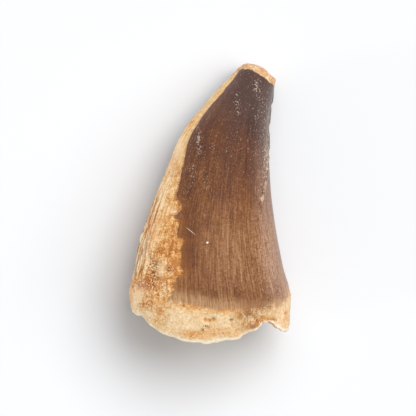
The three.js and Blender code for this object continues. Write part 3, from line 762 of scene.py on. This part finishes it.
coordinates = tree.nodes.new("ShaderNodeTexCoord")
place = stretched(coordinates.outputs["Object"], 1 / MM, 1 / MM, 1 / MM)
grain = read("grain", "Vector")
side_in, tip_in, neck_in, band_in = (read(name) for name in ("side", "tip", "neck", "band"))
crumbly, fibrous_in, specked_in, soot_in = (read(name) for name in ("crumbly", "fibrous", "specked", "soot"))
upper_face = fade(node("SeparateXYZ", {}, place).node.outputs["Z"], 4, 6)

# Noise of several sizes.
ragged = cloud(place, 1.3, 4)
grit = cloud(place, 2.3, 4, 0.7)
crumbs = cloud(place, 5, 3, 0.6)
mottle = cloud(place, 0.3, 4)
blotches = cloud(place, 0.9, 5, 0.62)

# The enamel's ragged edges.
enamel_side = fade(add(side_in, times(ragged, 0.08), times(crumbs, 0.05)), -0.12, 0.12)
enamel_tip = fade(add(tip_in, times(ragged, 0.14), times(crumbs, 0.08)), -0.12, 0.12)
enamel_neck = fade(add(read("foot"), times(blotches, 0.2), times(grit, 0.16)), -0.4, 0.3)
enamel = times(enamel_side, enamel_tip, enamel_neck)

# The enamel: striae that run lengthwise, over broad tones, and finer grain.
hair = cloud(stretched(grain, 5.6, 5.6, 0.3), 1, 2, 0.6)
striae = cloud(stretched(grain, 3.6, 3.6, 0.24), 1, 3, 0.65)
streaks = cloud(stretched(grain, 1.0, 1.0, 0.1), 1, 3, 0.6)
low_crown = fade(neck_in, 26, 8)
tone_in = add(
    read("tone"),
    times(hair, line(low_crown, 0.15, 0.06)),
    times(striae, line(low_crown, 0.14, 0.01)),
    times(streaks, line(low_crown, 0.13, -0.07)),
    times(mottle, line(low_crown, 0.1, -0.05)),
    times(grit, add(times(specked_in, 0.1), times(low_crown, -0.03), 0.19)),
    times(crumbs, add(times(specked_in, 0.2), times(low_crown, -0.06), 0.22)),
)
enamel_colour = scale_of(tone_in, ENAMEL_TONES)
# A paler, greyer sheen is painted on the rear edge, beyond the ridge.
painted_sheen = fade(add(read("painted_sheen"), times(blotches, 0.25), times(grit, 0.2), times(mottle, 0.2)), 0.2, 1.1)
painted_sheen = times(painted_sheen, fade(neck_in, 36, 22))
painted_sheen_colour = between(fade(add(hair, crumbs, grit), -1, 1), SHEEN_DARK, SHEEN_PALE)
enamel_colour = mix(times(painted_sheen, line(low_crown, 0.16, 0.27)), enamel_colour, painted_sheen_colour)
# Higher up, a greyer sheen is painted on it, and the grain is pale.
enamel_colour = tint(enamel_colour, UPPER_SHEEN, fade(neck_in, 25, 34), 0.35)
pale_grain = fade(add(crumbs, times(grit, 0.8), times(hair, 0.6)), 0.4, 1.9)
enamel_colour = tint(enamel_colour, PALE_GRAIN, pale_grain, without(low_crown), line(specked_in, 0.6, 0.2))
# It is rusty beside the bare dentine.
rusty = times(fade(side_in, 2.6, 0), fade(neck_in, 20, 12))
enamel_colour = tint(enamel_colour, RUSTY_EDGE, rusty, 0.4)
# White specks, flecks, a scratch, a nick and the chipped crest of the cutting ridge.
speckle = dots(2.6, 0.16, add(times(specked_in, 0.6), times(low_crown, -0.1), 0.09))
fleck_noise = cloud(stretched(place, 1, 0.6, 1), 4.2, 3, 0.6)
flecks = fade(add(fleck_noise, times(specked_in, 0.7), times(low_crown, -0.15)), 0.75, 1.15)
scratch = mark(-3.0, -4.5, direction=-38, long=1.9, wide=0.11)
nick = mark(-0.4, -6.3, direction=20, long=0.38, wide=0.3)
specks = larger(times(larger(speckle, flecks), 0.9), scratch)
enamel_colour = tint(enamel_colour, SPECK, specks, 0.85)
enamel_colour = tint(enamel_colour, NICK, nick, 0.9)
chipped = add(read("chips"), times(grit, 0.35), times(crumbs, 0.2), times(read("ridge"), -1.6))
chipped = fade(chipped, 0.1, 0.5)
enamel_colour = tint(enamel_colour, CHIPPED_RIDGE, chipped, fade(grit, -0.8, 0.6), 0.75)
# The dull band at its foot.
band_colour = between(fade(add(hair, times(grit, 0.4)), -0.8, 0.9), BAND_DARK, BAND_PALE)
band_colour = tint(band_colour, BAND_BROWN, read("brown"), 0.8)
band_share = fade(add(band_in, times(striae, 0.2), times(blotches, 0.15)), 1.3, 0.4)
enamel_colour = mix(band_share, enamel_colour, band_colour)

# The dentine and the root.
smooth_part = fade(neck_in, 17, 24)
fibre_lines = calc("SUBTRACT", fade(cloud(stretched(grain, 1.9, 1.9, 0.13), 1, 4, 0.6), -0.5, 0.5), 0.5)
# Stains, and painted light where the patches are below zero.
stain_and_painted_light = times(read("stain_and_painted_light"), line(blotches, 0.95, 0.36))
fine_grain = times(add(times(grit, 0.17), times(crumbs, 0.18)), line(smooth_part, 1.25, -0.45))
crumbly_grain = times(add(grit, crumbs), crumbly, 0.32)
patchy = times(blotches, line(smooth_part, 0.17, -0.11))
fibres = times(fibre_lines, fibrous_in)
dentine_shade = add(0.26, times(stain_and_painted_light, 0.4), patchy, fibres, fine_grain, crumbly_grain)
root_shade = add(0.24, times(stain_and_painted_light, 0.45), times(blotches, 0.08), fine_grain, crumbly_grain)
below_neck = fade(neck_in, 0.6, -0.6)
bare_colour = mix(below_neck, scale_of(dentine_shade, DENTINE_TONES), scale_of(root_shade, ROOT_TONES))
# Broad stains, chalky places with painted light among them, and the worn tip.
brown = times(read("brown"), fade(add(blotches, grit, times(crumbs, crumbly, 4)), -1.4, 0.8))
bare_colour = mix(times(brown, 0.85), bare_colour, between(below_neck, DENTINE_BROWN, ROOT_BROWN))
bare_colour = tint(bare_colour, PINK, read("pink"), 0.45)
worn_tip = times(fade(tip_in, 0.5, -0.5), fade(add(blotches, grit), -0.9, 0.5))
bare_colour = tint(bare_colour, WORN_TIP, worn_tip, 0.8)
# Chalky places, and painted light on the shaded front flank and the root's front lobe.
chalk_and_painted_light = times(read("chalk_and_painted_light"), fade(add(blotches, grit), -1.2, 0.8))
bare_colour = tint(bare_colour, CHALK_AND_PAINTED_LIGHT, chalk_and_painted_light, 0.75)
# Pores, painted shade in the hollows, mineral specks, and a pale line round the rim as a painted highlight.
bone_dots = dots(1.7, 0.13, line(smooth_part, 0.42, -0.4))
dark_places = larger(fade(add(read("pores"), times(grit, 0.3), times(crumbs, 0.2)), 0.4, 1.1), bone_dots)
bare_colour = tint(bare_colour, PORE, dark_places, 0.55)
# Painted shade: the hollows of the fine relief are darker and browner.
bare_colour = tint(bare_colour, HOLLOW_SHADE, read("hollow_shade"), 0.7)
soot = dots(3.1, 0.36, times(soot_in, 0.75))
glints = dots(3.9, 0.3, times(soot_in, 0.6))
bare_colour = tint(bare_colour, SOOT, soot, 0.95)
bare_colour = tint(bare_colour, GLINT, glints, 0.95)
# A painted highlight: a pale line along the rim's edge.
rim_highlight = times(fade(read("rim"), 0.6, 0.1), fade(add(ragged, grit), -1.4, 0.2))
bare_colour = tint(bare_colour, RIM_HIGHLIGHT, rim_highlight, 0.85)

tree.links.new(mix(enamel, bare_colour, enamel_colour), shader.inputs["Base Color"])

# Gloss and the finest relief.
not_enamel = without(enamel)
enamel_rough = add(0.3, times(striae, 0.05), times(specks, 0.2), times(band_share, 0.14), times(painted_sheen, 0.06))
bare_rough = add(0.88, times(crumbs, 0.06))
tree.links.new(add(times(enamel_rough, enamel), times(bare_rough, not_enamel)), shader.inputs["Roughness"])
enamel_height = add(
    times(striae, line(low_crown, 0.003, 0.01)),
    times(hair, 0.005),
    times(streaks, 0.01),
    times(specks, -0.03),
    times(chipped, -0.06),
    times(crumbs, 0.003),
)
bare_height = add(
    times(crumbs, 0.045),
    times(cloud(place, 14, 2), 0.012),
    times(grit, 0.05),
    times(fibres, 0.06),
    times(soot, -0.08),
    times(dark_places, -0.06),
)
fine_bump = tree.nodes.new("ShaderNodeBump")
fine_bump.inputs["Distance"].default_value = MM
tree.links.new(add(times(enamel_height, enamel), times(bare_height, not_enamel)), fine_bump.inputs["Height"])
tree.links.new(fine_bump.outputs[0], shader.inputs["Normal"])
shader.inputs["Specular IOR Level"].default_value = 0.35
mesh.materials.append(material)

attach(tooth, "root")
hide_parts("tooth")

# ---- The floor, the light and the camera ----
FLOOR_RADIUS, FLOOR_SIDES = 3.0, 96
FLOOR_COLOUR, FLOOR_ROUGHNESS = (0.776, 0.79, 0.81, 1), 0.9
# The surroundings are brightest at floor height: their strength there, and from a little above it upwards.
SKY_AT_FLOOR, SKY_ABOVE, SKY_FADE_HEIGHT = 1, 0.32, 0.12
# Broad, far lights: direction from the tooth, elevation and apparent width in degrees, and strength.
LIGHTS = {
    "key_light": (45, 59, 40, 2.05),
    "side_light": (0, 47, 40, 0.86),
    "back_light": (88, 59, 40, 0.56),
    "fill_light": (188, 3, 10, 1.42),
}
# The camera looks straight down: lens, sensor and place in millimetres, and the end of its view in metres.
LENS, SENSOR_WIDTH, FARTHEST_SEEN = 500, 36, 4
CAMERA_PLACE = (-0.3, -0.83, 934)

spokes = [2 * math.pi * i / FLOOR_SIDES for i in range(FLOOR_SIDES)]
corners = [(FLOOR_RADIUS * math.cos(a), FLOOR_RADIUS * math.sin(a), 0) for a in spokes]
floor_mesh = bpy.data.meshes.new("floor")
floor_mesh.from_pydata(corners, [], [range(FLOOR_SIDES)])
floor = bpy.data.objects.new("floor", floor_mesh)
bpy.context.scene.collection.objects.link(floor)
paper = bpy.data.materials.new("floor_paper")
paper.use_nodes = True
paper_shader = paper.node_tree.nodes["Principled BSDF"]
paper_shader.inputs["Base Color"].default_value = FLOOR_COLOUR
paper_shader.inputs["Roughness"].default_value = FLOOR_ROUGHNESS
paper_shader.inputs["Specular IOR Level"].default_value = 0
floor_mesh.materials.append(paper)

world = bpy.data.worlds.new("studio")
world.use_nodes = True
sky = world.node_tree
skyward = sky.nodes.new("ShaderNodeSeparateXYZ")
sky.links.new(sky.nodes.new("ShaderNodeTexCoord").outputs["Generated"], skyward.inputs[0])
brightness = sky.nodes.new("ShaderNodeMapRange")
sky.links.new(skyward.outputs["Z"], brightness.inputs["Value"])
brightness.inputs["From Min"].default_value = 0
brightness.inputs["From Max"].default_value = SKY_FADE_HEIGHT
brightness.inputs["To Min"].default_value = SKY_AT_FLOOR
brightness.inputs["To Max"].default_value = SKY_ABOVE
background = sky.nodes["Background"]
background.inputs["Color"].default_value = (1, 1, 1, 1)
sky.links.new(brightness.outputs[0], background.inputs["Strength"])
bpy.context.scene.world = world

for name, (azimuth, elevation, apparent_width, strength) in LIGHTS.items():
    lamp = bpy.data.lights.new(name, "SUN")
    lamp.angle, lamp.energy = math.radians(apparent_width), strength
    light = bpy.data.objects.new(name, lamp)
    light.rotation_euler = (math.radians(90 - elevation), 0, math.radians(azimuth + 90))
    # Their mirror images are kept off the enamel, as with a polariser.
    light.visible_glossy = False
    bpy.context.scene.collection.objects.link(light)

camera_data = bpy.data.cameras.new("camera")
camera_data.lens, camera_data.sensor_width, camera_data.clip_end = LENS, SENSOR_WIDTH, FARTHEST_SEEN
camera = bpy.data.objects.new("camera", camera_data)
camera.location = [v * MM for v in CAMERA_PLACE]
bpy.context.scene.collection.objects.link(camera)
bpy.context.scene.camera = camera
bpy.context.scene.view_settings.view_transform = "Standard"

bpy.context.view_layer.update()
